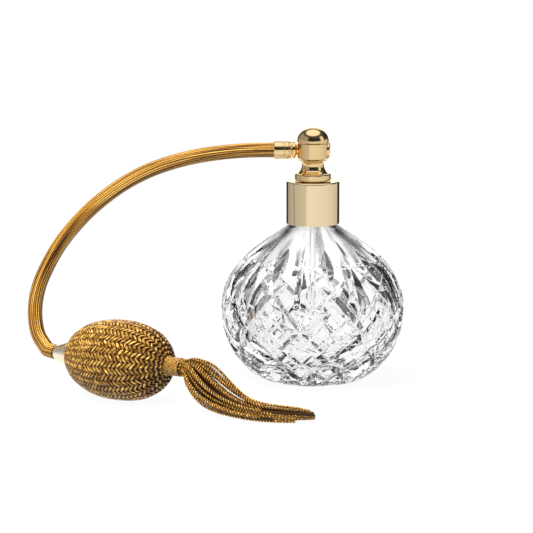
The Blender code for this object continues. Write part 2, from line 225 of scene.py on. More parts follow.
def unwrap_seam(values, faces, uv):
    """The last column's faces go round past the seam, so their low u values are lifted by one turn."""
    turn = float(uv[..., 0].max()) + float(uv[0, 1, 0] - uv[0, 0, 0])
    start = 0
    for face in faces:
        part = values[start:start + len(face)]
        if len(face) == 4 and part[:, 0].max() - part[:, 0].min() > turn / 2:
            part[part[:, 0] < turn / 2, 0] += turn
        start += len(face)


def lathe_points(outline, segments):
    """Points of an outline of (radius, height) turned about Z."""
    turns = 2 * np.pi * np.arange(segments) / segments
    out = np.array(outline, float)
    return np.stack([out[:, :1] * np.cos(turns), out[:, :1] * np.sin(turns),
                     np.repeat(out[:, 1:], segments, 1)], 2)


def onto_axis(points, axis, origin):
    """Moves points from the Z axis onto another axis through origin, in mm."""
    axis = np.array(axis, float)
    side = np.cross(Z_AXIS, axis)
    side /= np.linalg.norm(side)
    up = np.cross(axis, side)
    return (np.array(origin, float) + points[..., :1] * side + points[..., 1:2] * up + points[..., 2:] * axis)


def rounded(outline, radius, steps=4):
    """A closed outline with corners rounded by up to radius, and the straights beside them held straight."""
    pts = [np.array(p, float) for p in outline]
    out = []
    for k, p in enumerate(pts):
        a = pts[k - 1]
        b = pts[(k + 1) % len(pts)]
        la, lb = np.linalg.norm(a - p), np.linalg.norm(b - p)
        r = min(radius, la * 0.45, lb * 0.45)
        pa, pb = p + (a - p) / la * r, p + (b - p) / lb * r
        hold = min(0.2, r)
        if la > 2 * (r + hold):
            out.append(p + (a - p) / la * (r + hold))
        for t in np.linspace(0, 1, steps + 1):
            out.append((1 - t) ** 2 * pa + 2 * t * (1 - t) * p + t * t * pb)
        if lb > 2 * (r + hold):
            out.append(p + (b - p) / lb * (r + hold))
    return out


def turned_piece(name, outline, mat, body, replaces, segments=128, axis=None, origin=(0, 0, 0),
                 corner=0.15):
    """A polished turned piece with small rounded corners, in place of its CAD node."""
    points = lathe_points(rounded(outline, corner), segments)
    if axis is not None:
        points = onto_axis(points, axis, origin)
    mesh = grid_mesh(name, points, closed_along=True)
    fix_normals(mesh)
    obj = add_object(name, mesh, mat, body, sharp=38)
    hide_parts(*replaces)
    return obj


def fix_normals(mesh):
    bm = bmesh.new()
    bm.from_mesh(mesh)
    bmesh.ops.recalc_face_normals(bm, faces=bm.faces)
    bm.to_mesh(mesh)
    bm.free()


# ---- materials ----
def add_node(tree, kind, inputs=None, **props):
    """A new node with its properties set and its sockets linked or set."""
    node = tree.nodes.new(kind)
    for key, value in props.items():
        setattr(node, key, value)
    for key, value in (inputs or {}).items():
        if isinstance(value, bpy.types.NodeSocket):
            tree.links.new(value, node.inputs[key])
        else:
            node.inputs[key].default_value = value
    return node


def colour_ramp(tree, factor, stops):
    node = add_node(tree, "ShaderNodeValToRGB", {"Fac": factor})
    elements = node.color_ramp.elements
    while len(elements) < len(stops):
        elements.new(0.5)
    for element, (place, colour) in zip(elements, stops):
        element.position = place
        element.color = (*colour, 1.0)
    return node.outputs["Color"]


class Nodes:
    """Short way to build a material's node tree."""

    def __init__(self, name):
        self.mat = bpy.data.materials.new(name)
        self.mat.use_nodes = True
        self.tree = self.mat.node_tree
        self.shader = self.tree.nodes["Principled BSDF"]

    def add(self, kind, inputs=None, **props):
        return add_node(self.tree, kind, inputs, **props)

    def ramp(self, factor, stops):
        return colour_ramp(self.tree, factor, stops)

    def set(self, **inputs):
        for key, value in inputs.items():
            socket = self.shader.inputs[key.replace("_", " ")]
            if isinstance(value, bpy.types.NodeSocket):
                self.tree.links.new(value, socket)
            else:
                socket.default_value = value

    def bump(self, height, strength, distance):
        node = self.add("ShaderNodeBump", {"Height": height, "Strength": strength, "Distance": distance})
        self.tree.links.new(node.outputs["Normal"], self.shader.inputs["Normal"])


def polished_metal(name, colour, roughness, smudge=0.03):
    """Plated metal: faint variation of roughness and a very fine polishing grain."""
    m = Nodes(name)
    place = m.add("ShaderNodeTexCoord").outputs["Object"]
    cloud = m.add("ShaderNodeTexNoise", {"Vector": place, "Scale": 120.0, "Detail": 3.0}).outputs["Fac"]
    rough = m.add("ShaderNodeMapRange", {"Value": cloud, "To Min": roughness, "To Max": roughness + smudge})
    grain = m.add("ShaderNodeTexNoise", {"Vector": place, "Scale": 2500.0, "Detail": 2.0}).outputs["Fac"]
    m.set(Base_Color=(*colour, 1.0), Metallic=1.0, Roughness=rough.outputs["Result"])
    m.bump(grain, 0.02, 0.0001)
    return m.mat


INNER_ROUGH = 0.18         # roughness of the inner wall just under the neck


def crystal():
    m = Nodes("cut_crystal")
    inner = m.add("ShaderNodeAttribute", attribute_name="shade_and_roughness").outputs["Fac"]
    rough = m.add("ShaderNodeMapRange", {"Value": inner, "To Min": 0.0, "To Max": INNER_ROUGH})
    m.set(Base_Color=(1.0, 1.0, 1.0, 1.0), Roughness=rough.outputs["Result"], IOR=1.54,
          Transmission_Weight=1.0)
    return m.mat


def thread_material(name, dark, mid, light, along_scale, cross_scale):
    """Silky metallic thread with painted shade: darker where the vertex value is low, in the grooves and
    hollows of the weave. UV is in mm: u round the piece, v along it.
    """
    m = Nodes(name)
    uv = m.add("ShaderNodeUVMap", uv_map="UVMap").outputs["UV"]
    streak_uv = m.add("ShaderNodeVectorMath", {0: uv, 1: (along_scale, cross_scale, 1.0)},
                      operation="MULTIPLY")
    streaks = m.add("ShaderNodeTexNoise", {"Vector": streak_uv.outputs[0], "Scale": 1.0, "Detail": 4.0,
                                           "Roughness": 0.6}).outputs["Fac"]
    colour = m.ramp(streaks, [(0.39, dark), (0.5, mid), (0.61, light)])
    # Painted shade: the vertex value darkens the thread's colour, to near-black where it is 0.
    shade_and_roughness = m.add("ShaderNodeAttribute", attribute_name="shade_and_roughness").outputs["Fac"]
    shade = m.ramp(shade_and_roughness, [(0.0, (0.01, 0.006, 0.003)), (0.5, (0.26, 0.19, 0.13)),
                            (0.92, (1.0, 1.0, 1.0))])
    deep = m.add("ShaderNodeMix", {"Factor": 1.0, 6: colour, 7: shade}, data_type="RGBA",
                 blend_type="MULTIPLY")
    m.set(Base_Color=deep.outputs[2], Roughness=0.34, Metallic=0.40)
    m.bump(streaks, 0.35, 0.0002)
    return m.mat


def plain(name, colour, roughness, **inputs):
    m = Nodes(name)
    place = m.add("ShaderNodeTexCoord").outputs["Object"]
    fine = m.add("ShaderNodeTexNoise", {"Vector": place, "Scale": 900.0, "Detail": 3.0}).outputs["Fac"]
    tone = m.ramp(fine, [(0.3, tuple(0.92 * c for c in colour)), (0.7, colour)])
    m.set(Base_Color=tone, Roughness=roughness, **inputs)
    m.bump(fine, 0.1, 0.0002)
    return m.mat


GOLD = polished_metal("polished_gold", (0.88, 0.70, 0.44), 0.05)
HEAD_GOLD = polished_metal("head_gold", (0.83, 0.62, 0.315), 0.05)
WARM_GOLD = polished_metal("warm_gold", (0.90, 0.62, 0.24), 0.08)
CREAM_GOLD = polished_metal("cream_gold", (0.96, 0.85, 0.66), 0.28)
BRASS = polished_metal("turned_brass", (0.78, 0.57, 0.27), 0.25)
STEEL = polished_metal("ball_steel", (0.7, 0.7, 0.7), 0.12)
RUBBER = plain("black_rubber", (0.03, 0.03, 0.03), 0.7)
LINER = plain("white_liner", (0.85, 0.85, 0.83), 0.45)
TUBE = plain("clear_tube", (1.0, 1.0, 1.0), 0.03, Transmission_Weight=1.0, IOR=1.10)
CRYSTAL = crystal()
HOSE_THREAD = thread_material("hose_thread", (0.07, 0.026, 0.002), (0.52, 0.25, 0.030), (0.92, 0.57, 0.14),
                              1.6, 0.02)
NET_THREAD = thread_material("net_thread", (0.06, 0.022, 0.002), (0.45, 0.225, 0.028), (0.95, 0.62, 0.18),
                             3.0, 0.9)
CORD_THREAD = thread_material("cord_thread", (0.06, 0.022, 0.002), (0.62, 0.30, 0.036), (1.0, 0.68, 0.20),
                              3.0, 0.6)
# Painted shade: a near-black brown sheet under the net's strokes, which shows in the gaps between them.
NET_GAP_SHADE = plain("net_gap_shade", (0.035, 0.018, 0.004), 0.8)


# ---- camera, floor and light ----
def make_camera():
    data = bpy.data.cameras.new("camera")
    data.sensor_width = 36.0
    data.lens = 188.29
    data.clip_start = 0.05
    camera = bpy.data.objects.new("camera", data)
    bpy.context.scene.collection.objects.link(camera)
    place = np.array([-0.02185, -1.3, 0.28597])
    aim = np.array([-0.02185, 0.0, 0.05356])
    camera.location = place
    camera.rotation_euler = (math.atan2(np.hypot(*(aim - place)[:2]), place[2] - aim[2]), 0.0, 0.0)
    bpy.context.scene.camera = camera


FLOOR_R = 0.34
FLOOR_SIDES = 96
FLOOR_Z = -0.0003


def make_floor():
    """A disc that gives its own white light, so that it shows almost no shadow, as on a light table."""
    m = Nodes("floor_white")
    place = m.add("ShaderNodeTexCoord").outputs["Object"]
    faint = m.add("ShaderNodeTexNoise", {"Vector": place, "Scale": 3.0}).outputs["Fac"]
    tone = m.ramp(faint, [(0.0, (0.022, 0.022, 0.022)), (1.0, (0.026, 0.026, 0.026))])
    m.set(Base_Color=tone, Roughness=0.9, Specular_IOR_Level=0.0, Emission_Color=(1.0, 1.0, 1.0, 1.0),
          Emission_Strength=0.96)
    mesh = bpy.data.meshes.new("floor")
    turns = 2 * np.pi * np.arange(FLOOR_SIDES) / FLOOR_SIDES
    rim = [(FLOOR_R * math.cos(t), FLOOR_R * math.sin(t), FLOOR_Z) for t in turns]
    mesh.from_pydata(rim, [], [tuple(range(FLOOR_SIDES))])
    floor = add_object("floor", mesh, m.mat, None, smooth=False)


# Grey by azimuth: 0 behind the camera, 0.25 on -X, 0.5 the background, 0.75 on +X, 1 behind the camera again
SKY_LEVEL = [(0.0, 0.95), (0.072, 0.95), (0.086, 0.68), (0.20, 0.60), (0.30, 0.52), (0.37, 0.40),
             (0.385, 0.02), (0.445, 0.02), (0.455, 1.35), (0.545, 1.35), (0.555, 0.02), (0.632, 0.02),
             (0.645, 0.62), (0.74, 0.78), (0.86, 0.90), (1.0, 0.95)]
SKY_UPPER = [(0.0, 0.03), (0.09, 0.03), (0.13, 0.42), (0.36, 0.36), (0.38, 0.03), (0.42, 0.03),
             (0.45, 1.25), (0.55, 1.25), (0.58, 0.03), (0.74, 0.05), (0.77, 0.95), (0.82, 0.95),
             (0.85, 0.05), (1.0, 0.03)]
SKY_HIGH = 0.12
SKY_TOP = 1.25
# The direction's Z between which each band of the sky takes over from the one below
TO_UPPER = (0.10, 0.15)
TO_HIGH = (0.58, 0.66)
TO_TOP = (0.77, 0.85)
SKY_STRENGTH = 1.02


def make_world():
    """A plain white backdrop; in gloss and glass, a white studio with dark flags behind to both sides."""
    world = bpy.data.worlds.new("studio")
    bpy.context.scene.world = world
    world.use_nodes = True
    tree = world.node_tree
    back = tree.nodes["Background"]

    def grey_ramp(factor, stops):
        return colour_ramp(tree, factor, [(at, (grey, grey, grey)) for at, grey in stops])

    def mix(factor, low, high):
        inputs = {"Factor": factor, 6: low, 7: high}
        return add_node(tree, "ShaderNodeMix", inputs, data_type="RGBA").outputs[2]

    direction = add_node(tree, "ShaderNodeTexCoord").outputs["Generated"]
    parts = add_node(tree, "ShaderNodeSeparateXYZ", {"Vector": direction}).outputs
    turn = add_node(tree, "ShaderNodeMath", {0: parts["X"], 1: parts["Y"]}, operation="ARCTAN2").outputs[0]
    place = add_node(tree, "ShaderNodeMapRange", {"Value": turn, "From Min": -math.pi, "From Max": math.pi})
    sky = grey_ramp(place.outputs[0], SKY_LEVEL)
    upper = grey_ramp(place.outputs[0], SKY_UPPER)
    high = (SKY_HIGH, SKY_HIGH, SKY_HIGH, 1.0)
    top = (SKY_TOP, SKY_TOP, SKY_TOP, 1.0)
    for (low_z, high_z), band in ((TO_UPPER, upper), (TO_HIGH, high), (TO_TOP, top)):
        share = add_node(tree, "ShaderNodeMapRange",
                         {"Value": parts["Z"], "From Min": low_z, "From Max": high_z})
        sky = mix(share.outputs[0], sky, band)
    seen = add_node(tree, "ShaderNodeLightPath").outputs["Is Camera Ray"]
    tree.links.new(mix(seen, sky, (1.0, 1.0, 1.0, 1.0)), back.inputs["Color"])
    back.inputs["Strength"].default_value = SKY_STRENGTH


LAMP_AIM = np.array([-0.03, 0.0, 0.05])


def make_lamp(name, place, size, power):
    """A soft lamp aimed at the object, which lights it without showing in gloss or glass."""
    data = bpy.data.lights.new(name, "AREA")
    data.size = size
    data.energy = power
    lamp = bpy.data.objects.new(name, data)
    lamp.location = place
    lamp.visible_glossy = False
    lamp.visible_transmission = False
    bpy.context.scene.collection.objects.link(lamp)
    aim = LAMP_AIM - np.array(place)
    tilt = math.acos(-aim[2] / np.linalg.norm(aim))
    lamp.rotation_euler = (tilt, 0.0, math.atan2(aim[1], aim[0]) - math.pi / 2)


def make_lights():
    make_lamp("key", (-0.55, -0.7, 1.1), 0.35, 42.0)
    make_lamp("top", (-0.1, 0.0, 1.2), 0.6, 20.0)


# ---- hose ----
def tube_frames(line):
    """Two steady side directions at each point of a line."""
    ahead = np.gradient(line, axis=0)
    ahead /= np.linalg.norm(ahead, axis=1)[:, None]
    side = np.cross(ahead[0], [0.0, 1.0, 0.3])
    sides = []
    for t in ahead:
        side = side - t * (side @ t)
        side /= np.linalg.norm(side)
        sides.append(side.copy())
    sides = np.array(sides)
    return sides, np.cross(ahead, sides)


def make_hose():
    """Braided hose: lengthwise ribs of thread crossed by a fine slanted weft."""
    line, along = even_points(np.vstack([spline_points(HOSE_ROUTE[:-1], 12), HOSE_ROUTE[-1]]), HOSE_RINGS)
    side, up = tube_frames(line)
    turns = 2 * np.pi * np.arange(HOSE_SIDES) / HOSE_SIDES
    slant = turns[None, :] * HOSE_RIBS + 0.004 * along[:, None]
    rib = np.abs(np.sin(slant / 2.0)) ** 0.6
    weft = np.sin(2 * np.pi * along[:, None] / WEFT_PITCH + np.where(np.sin(slant / 2) > 0, 0, np.pi))
    radius = HOSE_R - 0.26 + 0.20 * rib + 0.05 * weft * rib
    points = (line[:, None] + radius[..., None] * (np.cos(turns)[None, :, None] * side[:, None]
                                                   + np.sin(turns)[None, :, None] * up[:, None]))
    uv = np.stack([np.broadcast_to(turns * HOSE_R, radius.shape),
                   np.broadcast_to(along[:, None], radius.shape)], 2)
    mesh = grid_mesh("hose_braid", points, caps=True, uv=uv)
    # Painted shade: darker in the grooves between the ribs and where the weft sinks.
    set_shade_and_roughness(mesh, rib * (0.86 + 0.14 * weft))
    obj = add_object("hose_braid", mesh, HOSE_THREAD, None)
    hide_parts("air_hose")
    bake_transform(obj)


# ---- crystal bottle ----
# Height and row number: the mitre cuts cross at whole rows, and fade out above row 0
ROW_Z = [(-30.0, 3.9), (5.0, 3.0), (14.4, 2.0), (29.0, 1.0), (46.5, 0.0), (52.5, -0.5), (75.0, -2.5)]
A_COLUMN_TURN = -78.7      # azimuth of one column of upper diamonds, degrees from +X
COLUMNS = 9
MITRE_HALF_WIDTH = 2.7
MITRE_DEPTH = 1.85
FINE_CUTS = ((2, 1.1, 0.55), (4, 0.5, 0.13))      # parts of a diamond, half width, depth
TALL_LEAF = (50.5, 66.0, 2.9, 1.7)                # bottom, top, half width, depth; above the diamonds
LONG_LEAF = (32.5, 58.5, 3.0, 2.0)                # the same, between the diamonds
SMALL_LEAF = (57.5, 69.0, 1.3, 0.4)               # the same, above a long leaf
ARM_Z = 57.8                                      # two short cuts beside each long leaf's tip
ARM_SLOPE = 0.12
ARM_MIDDLE = 4.2
ARM_REACH = 3.2
ARM_CUT = (0.9, 0.5)                              # half width, depth


def v_cut(distance, half_width, depth):
    return np.maximum(0.0, depth * (1.0 - np.abs(distance) / half_width))


def leaf_cut(across, z, bottom, top, half_width, depth):
    """A pointed leaf: a V groove that widens and deepens towards its middle. across is in mm."""
    middle, half = (bottom + top) / 2, (top - bottom) / 2
    swell = np.clip(1 - ((z - middle) / half) ** 2, 0, 1)
    return np.where(swell > 0, v_cut(across, np.maximum(half_width * swell, 1e-3), depth * swell), 0.0)


def cut_depth(turn, radius, z, slope):
    """How deep the pattern is cut at each place. slope is height gained per mm along the outline."""
    c = (np.degrees(turn) - A_COLUMN_TURN) / 360 * COLUMNS
    heights = [h for h, _ in ROW_Z]
    w = np.interp(z, heights, [r for _, r in ROW_Z])
    per_mm = np.gradient(w[:, 0]) / np.maximum(np.gradient(z[:, 0]), 1e-3) * np.abs(slope[:, 0])
    around = COLUMNS / (2 * np.pi * radius)
    steep = np.sqrt(around ** 2 + (0.5 * per_mm[:, None]) ** 2)
    p = c + w / 2
    q = c - w / 2
    near_p = (p - np.round(p)) / steep
    near_q = (q - np.round(q)) / steep
    arms = np.clip(1 + w / 0.55, 0, 1) ** 0.7
    mitre_half = MITRE_HALF_WIDTH * np.maximum(arms, 1e-3)
    depth = np.maximum(v_cut(near_p, mitre_half, MITRE_DEPTH * arms),
                       v_cut(near_q, mitre_half, MITRE_DEPTH * arms))
    cell = np.floor(p) - np.floor(q)
    inside = (cell >= 1) & (w > 0)
    for part, half_width, cut in FINE_CUTS:
        fine_p = (p * part - np.round(p * part)) / part / steep
        fine_q = (q * part - np.round(q * part)) / part / steep
        mesh_cut = np.maximum(v_cut(fine_p, half_width, cut), v_cut(fine_q, half_width, cut))
        depth = np.maximum(depth, np.where(inside & ((part == 2) | (cell < 2)), mesh_cut, 0.0))
    a_across = (c - np.round(c)) / around
    b = c - 0.5
    b_across = (b - np.round(b)) / around
    depth = np.maximum(depth, leaf_cut(a_across, z, *TALL_LEAF))
    depth = np.maximum(depth, leaf_cut(b_across, z, *LONG_LEAF))
    depth = np.maximum(depth, leaf_cut(b_across, z, *SMALL_LEAF))
    for side in (-1, 1):
        arm_z = z - ARM_Z - ARM_SLOPE * np.abs(b_across)
        reach = np.clip(1 - ((side * b_across - ARM_MIDDLE) / ARM_REACH) ** 2, 0, 1)
        arm = v_cut(arm_z, ARM_CUT[0] * np.maximum(reach, 1e-3), ARM_CUT[1] * reach)
        depth = np.maximum(depth, np.where(reach > 0, arm, 0))
    return depth


def thread_ridge(turn, z):
    phase = (z / PITCH - turn / (2 * np.pi) + 0.5) % 1.0 - 0.5
    ridge = np.clip((0.7 - np.abs(phase) * PITCH) / 0.45, 0, 1)
    fade = np.clip(np.minimum(z - MALE_Z[0], MALE_Z[1] - z) / 0.5, 0, 1)
    return THREAD_DEPTH * ridge * fade


def make_bottle():
    cols = COLUMNS * SIDES_PER_COLUMN
    turns = 2 * np.pi * np.arange(cols) / cols
    body, _ = even_points(spline_points(BODY_OUTLINE, 16), BODY_ROWS)
    ahead = np.gradient(body, axis=0)
    ahead /= np.linalg.norm(ahead, axis=1)[:, None]
    z = np.broadcast_to(body[:, 1:], (len(body), cols))
    radius = np.broadcast_to(body[:, :1], z.shape)
    slope = np.broadcast_to(ahead[:, 1:], z.shape)
    depth = cut_depth(turns[None, :], radius, z, slope)
    depth = depth * smoothstep((z - 0.6) / 3.0)
    r = radius - depth * ahead[:, 1:]
    h = z + depth * ahead[:, :1]
    rows_r, rows_z = [r], [h]

    def plain_rows(outline):
        for rr, zz in outline:
            rows_r.append(np.full((1, cols), rr))
            rows_z.append(np.full((1, cols), zz))

    plain_rows([(9.5, 75.3), (9.1, 75.8), (NECK_R, 76.4)])
    for height in np.arange(79.8, 87.0, THREAD_ROW):
        rows_r.append(NECK_R + thread_ridge(turns[None, :], np.full((1, cols), height)))
        rows_z.append(np.full((1, cols), height))
    plain_rows([(NECK_R, LIP_Z - 0.6), (NECK_R - 0.2, LIP_Z - 0.2), (NECK_R - 0.6, LIP_Z),
                (NECK_BORE_R + 0.4, LIP_Z), (NECK_BORE_R + 0.1, LIP_Z - 0.15), (NECK_BORE_R, LIP_Z - 0.5)])
    inside, _ = even_points(spline_points(CAVITY_OUTLINE, 12), CAVITY_ROWS)
    plain_rows(inside[::-1])
    cavity_floor = [(rr, 8.5 - 0.35 * math.cos(math.pi * rr / 32)) for rr in (12.0, 8.0, 4.0, 0.6)]
    plain_rows(cavity_floor)
    outer = np.stack([np.concatenate(rows_r), np.concatenate(rows_z)], 2)
    base = []
    for rr in np.linspace(0.6, 20.9, 26):
        star = np.abs(((turns * STAR_POINTS / (2 * np.pi)) + 0.5) % 1.0 - 0.5) * 2 * np.pi * rr / STAR_POINTS
        fade = np.clip((20.0 - rr) / 6, 0, 1)
        groove = np.maximum(0, 0.9 - star * 0.9) * fade * np.clip((rr - 0.6) / 2, 0, 1)
        base.append(np.stack([np.full(cols, rr), groove], 1))
    grid = np.concatenate([np.array(base), outer])
    points = np.stack([grid[..., 0] * np.cos(turns), grid[..., 0] * np.sin(turns), grid[..., 1]], 2)
    mesh = grid_mesh("crystal_bottle", points, caps=True)
    in_cavity = np.arange(len(grid)) >= len(grid) - CAVITY_ROWS - len(cavity_floor)
    soft = np.where(in_cavity, smoothstep((grid[:, 0, 1] - 53.0) / 10.0), 0.0)
    set_shade_and_roughness(mesh, np.repeat(soft, cols))
    obj = add_object("crystal_bottle", mesh, CRYSTAL, "bottle", sharp=9)
    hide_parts("glass_bottle")


# ---- gold fittings ----
def arc(centre, radius, start, end, steps):
    turns = np.radians(np.linspace(start, end, steps + 1))
    return [(centre[0] + radius * math.cos(t), centre[1] + radius * math.sin(t)) for t in turns]


def make_head():
    collar = [(11.95, 74.6), (12.65, 74.6)] + arc((11.85, 94.0), 0.8, 0, 90, 8)
    collar += [(4.0, 94.8), (4.0, 94.1), (11.95, 94.1)]
    turned_piece("collar", collar, GOLD, "collar", ["collar_shell"], corner=0.12, segments=192)
    waist = spline_points([(7.6, 98.4), (7.0, 98.85), (5.9, 99.9), (5.35, 101.2), (5.2, 102.3),
                           (5.45, 103.3), (6.1, 104.15), (6.9, 104.6)], 6).tolist()
    stem = [(1.8, 88.8), (3.5, 88.8), (3.5, 95.1), (8.3, 95.1), (8.5, 95.4), (8.5, 97.7), (8.2, 98.2)] + waist
    stem += [(6.9, 104.8), (2.5, 104.8), (2.5, 107.5), (0.9, 107.5), (0.9, 97.0), (1.8, 97.0)]
    turned_piece("stem", stem, HEAD_GOLD, "head", ["head_stem"], corner=0.12)
    drum = [(2.8, 105.1), (6.9, 105.1), (7.4, 105.6), (7.4, 112.5), (7.2, 112.7), (3.3, 112.7), (3.3, 111.2),
            (1.2, 111.2), (1.2, 107.8), (2.8, 107.8)]
    turned_piece("drum", drum, HEAD_GOLD, "head", ["spray_drum"], corner=0.1)
    dome = [(0.05, 111.8), (3.0, 111.8), (3.0, 113.0), (7.25, 113.0)]
    dome += [(7.5 * math.cos(t) ** 0.9, 113.25 + 6.75 * math.sin(t))
             for t in np.radians(np.linspace(0, 88, 30))]
    dome += [(0.05, 120.0)]
    turned_piece("dome", dome, HEAD_GOLD, "head", ["dome_cap"], corner=0.05)
    centre = (0, 0, AIR_Z)
    nozzle = [(0.5, 3.6), (1.6, 3.6), (1.6, 6.5), (3.65, 6.5), (3.65, 7.6), (3.25, 8.0), (2.0, 8.0),
              (1.5, 7.7), (0.5, 7.7)]
    turned_piece("nozzle", nozzle, HEAD_GOLD, "head", ["nozzle_insert"], axis=(1, 0, 0),
                 origin=centre)
    nipple = [(1.0, 3.6), (2.0, 3.6), (2.0, 7.5), (2.7, 7.75), (2.9, 8.0), (3.9, 8.3), (4.0, 8.6),
              (4.0, 9.5), (3.8, 9.8), (2.0, 9.8), (2.0, 14.0), (1.0, 14.0)]
    turned_piece("nipple", nipple, WARM_GOLD, "head", ["inlet_nipple"], axis=(-1, 0, 0),
                 origin=centre)
    ferrule = [(2.3, 10.2), (4.0, 10.2), (4.3, 10.5), (4.3, 11.0), (4.0, 11.2), (4.0, 11.35), (4.3, 11.55),
               (4.3, 13.1), (4.0, 13.3), (4.0, 13.45), (4.3, 13.65), (4.3, 18.0), (4.1, 18.4), (3.8, 18.4),
               (3.8, 11.1), (2.3, 11.1)]
    turned_piece("ferrule", ferrule, HEAD_GOLD, "head", ["hose_ferrule"], axis=(-1, 0, 0),
                 origin=centre)


# ---- bulb ----
def bulb_point(s, turn, lift=0.0):
    """A point on the bulb: s along its axis from the centre, turn round it, lift above the ellipsoid."""
    s = np.asarray(s, float)
    power = np.where(s < 0, 2.0, 2.0 / TAIL_FULLNESS)
    shape = np.sqrt(np.clip(1 - np.abs(s / BULB_HALF) ** power, 1e-4, 1))
    radius = BULB_R * shape + lift
    ring = np.cos(turn)[..., None] * Z_AXIS + np.sin(turn)[..., None] * BULB_SIDE
    return BULB_CENTRE + s[..., None] * BULB_AXIS + radius[..., None] * ring


def bulb_width(s):
    """The bulb's radius at s along its axis."""
    power = 2.0 if s < 0 else 2.0 / TAIL_FULLNESS
    return BULB_R * math.sqrt(max(1e-3, 1 - abs(s / BULB_HALF) ** power))


def stroke_rows():
    """Each row's place along the bulb's axis, its pitch and how much the slope shortens that.

    The rows lie evenly along the surface, close together at the hose end and wider apart at the tail.
    """
    rows = []
    s = -26.6
    while s < 26.8:
        pitch = 1.25 + 0.85 * smoothstep((s + 24) / 34)
        lean = (bulb_width(s + 0.2) - bulb_width(s - 0.2)) / 0.4
        short = 1 / math.hypot(1, lean)
        rows.append((s, pitch, short))
        s += pitch * max(short, 0.25)
    return rows


def make_net():
    """Each band of the net is a row of slanted strokes of thread; neighbours slant the other way."""
    verts, faces, uvs, shade_and_roughness = [], [], [], []
    ring_turns = 2 * np.pi * np.arange(STROKE_SIDES) / STROKE_SIDES
    for band in range(NET_BANDS):
        slant = 1 if band % 2 else -1
        for s, pitch, short in stroke_rows():
            width = 2 * np.pi * bulb_width(s) / NET_BANDS
            rake = slant * 1.25 * min(width, 2.9) * short
            t = np.linspace(0, 1, STROKE_RINGS)
            turn = 2 * np.pi * (band + t * 1.36 - 0.18) / NET_BANDS
            place = np.clip(s + rake * (t - 0.5) + rng.normal(0, 0.04), -27.2, 26.4)
            half = pitch * 0.38
            bulge = np.sin(np.pi * t)
            centre = bulb_point(place, turn, -0.62 + 0.24 * bulge)
            ahead = np.gradient(centre, axis=0)
            ahead /= np.linalg.norm(ahead, axis=1)[:, None] + 1e-9
            out = bulb_point(place, turn, 1.0) - bulb_point(place, turn, 0.0)
            out /= np.linalg.norm(out, axis=1)[:, None]
            across = np.cross(ahead, out)
            thick = 0.66 + 0.34 * bulge ** 0.6
            flat = half * thick[:, None] * np.cos(ring_turns)
            high = 0.42 * thick[:, None] * np.sin(ring_turns)
            ring = centre[:, None] + across[:, None] * flat[..., None] + out[:, None] * high[..., None]
            first = len(verts)
            verts.extend(ring.reshape(-1, 3))
            shift = rng.random() * 40
            tone = rng.uniform(0.70, 1.02)
            for a in range(STROKE_RINGS):
                for k in range(STROKE_SIDES):
                    uvs.append((k * 0.35 + shift, a * width / STROKE_RINGS + shift))
                    # Painted shade: each stroke is darker towards its ends, where it dips under its
                    # neighbours, and on its underside towards the bulb; its tone also varies at random.
                    shade_and_roughness.append(tone * (0.46 + 0.54 * bulge[a]) * (0.50 + 0.50 * math.sin(ring_turns[k])))
            faces.extend(tube_faces(first, STROKE_RINGS, STROKE_SIDES))
    mesh = thread_mesh("net", verts, faces, uvs, shade_and_roughness)
    net = add_object("net", mesh, NET_THREAD, "bulb")
    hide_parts("net_cover")

    # A near-black sheet just under the strokes, painted shade for the gaps in the net.
    rows = np.linspace(-26.7, 26.5, 60)
    turns = 2 * np.pi * np.arange(96) / 96
    s = np.broadcast_to(rows[:, None], (60, 96))
    shade_sheet_outside = bulb_point(s, np.broadcast_to(turns, s.shape), -0.8)
    back = bulb_point(s * 0.985, np.broadcast_to(turns, s.shape), -1.1)
    skin = grid_mesh("net_gap_shade", np.concatenate([shade_sheet_outside, back[::-1]]), closed_along=True)
    fix_normals(skin)
    shade_sheet_obj = add_object("net_gap_shade", skin, NET_GAP_SHADE, "bulb")
    for piece in (net, shade_sheet_obj):
        squeeze(piece)


def squeeze(piece):
    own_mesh(piece)


def make_bulb_ends():
    cone = [(1.7, -34.6), (3.2, -34.6), (3.45, -34.3), (3.6, -33.2), (5.8, -27.5), (6.0, -27.1), (6.0, -26.3),
            (3.2, -26.3), (3.2, -32.0), (1.7, -32.0)]
    turned_piece("cone", cone, CREAM_GOLD, "bulb", ["bulb_ferrule"], axis=BULB_AXIS,
                 origin=BULB_CENTRE)
    rows = np.linspace(*SLEEVE_S, SLEEVE_ROWS)
    turns = 2 * np.pi * np.arange(SLEEVE_SIDES) / SLEEVE_SIDES
    flare = 2.2 * np.clip((27.8 - rows) / 2.4, 0, 1) ** 1.6 * smoothstep((rows - 24.6) / 1.2) - 0.3
    weave = 0.05 * np.sin(turns[None, :] * 45 + rows[:, None] * 5.5) * np.sin(rows[:, None] * 9)
    radius = SLEEVE_R + flare[:, None] + weave
    out = np.stack([radius * np.cos(turns), radius * np.sin(turns),
                    np.broadcast_to(rows[:, None], radius.shape)], 2)
    inner = out.copy()
    inner[..., :2] *= 0.93
    points = onto_axis(np.concatenate([out, inner[::-1]]), BULB_AXIS, BULB_CENTRE)
    uv = np.stack([np.broadcast_to(turns * 4.6, points.shape[:2]),
                   np.broadcast_to(np.concatenate([rows, rows[::-1]])[:, None], points.shape[:2])], 2)
    mesh = grid_mesh("sleeve", points, closed_along=True, uv=uv)
    fix_normals(mesh)
    set_shade_and_roughness(mesh, np.full(points.shape[:2], 0.66))
    obj = add_object("sleeve", mesh, NET_THREAD, "tail")
    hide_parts("tail_sleeve")


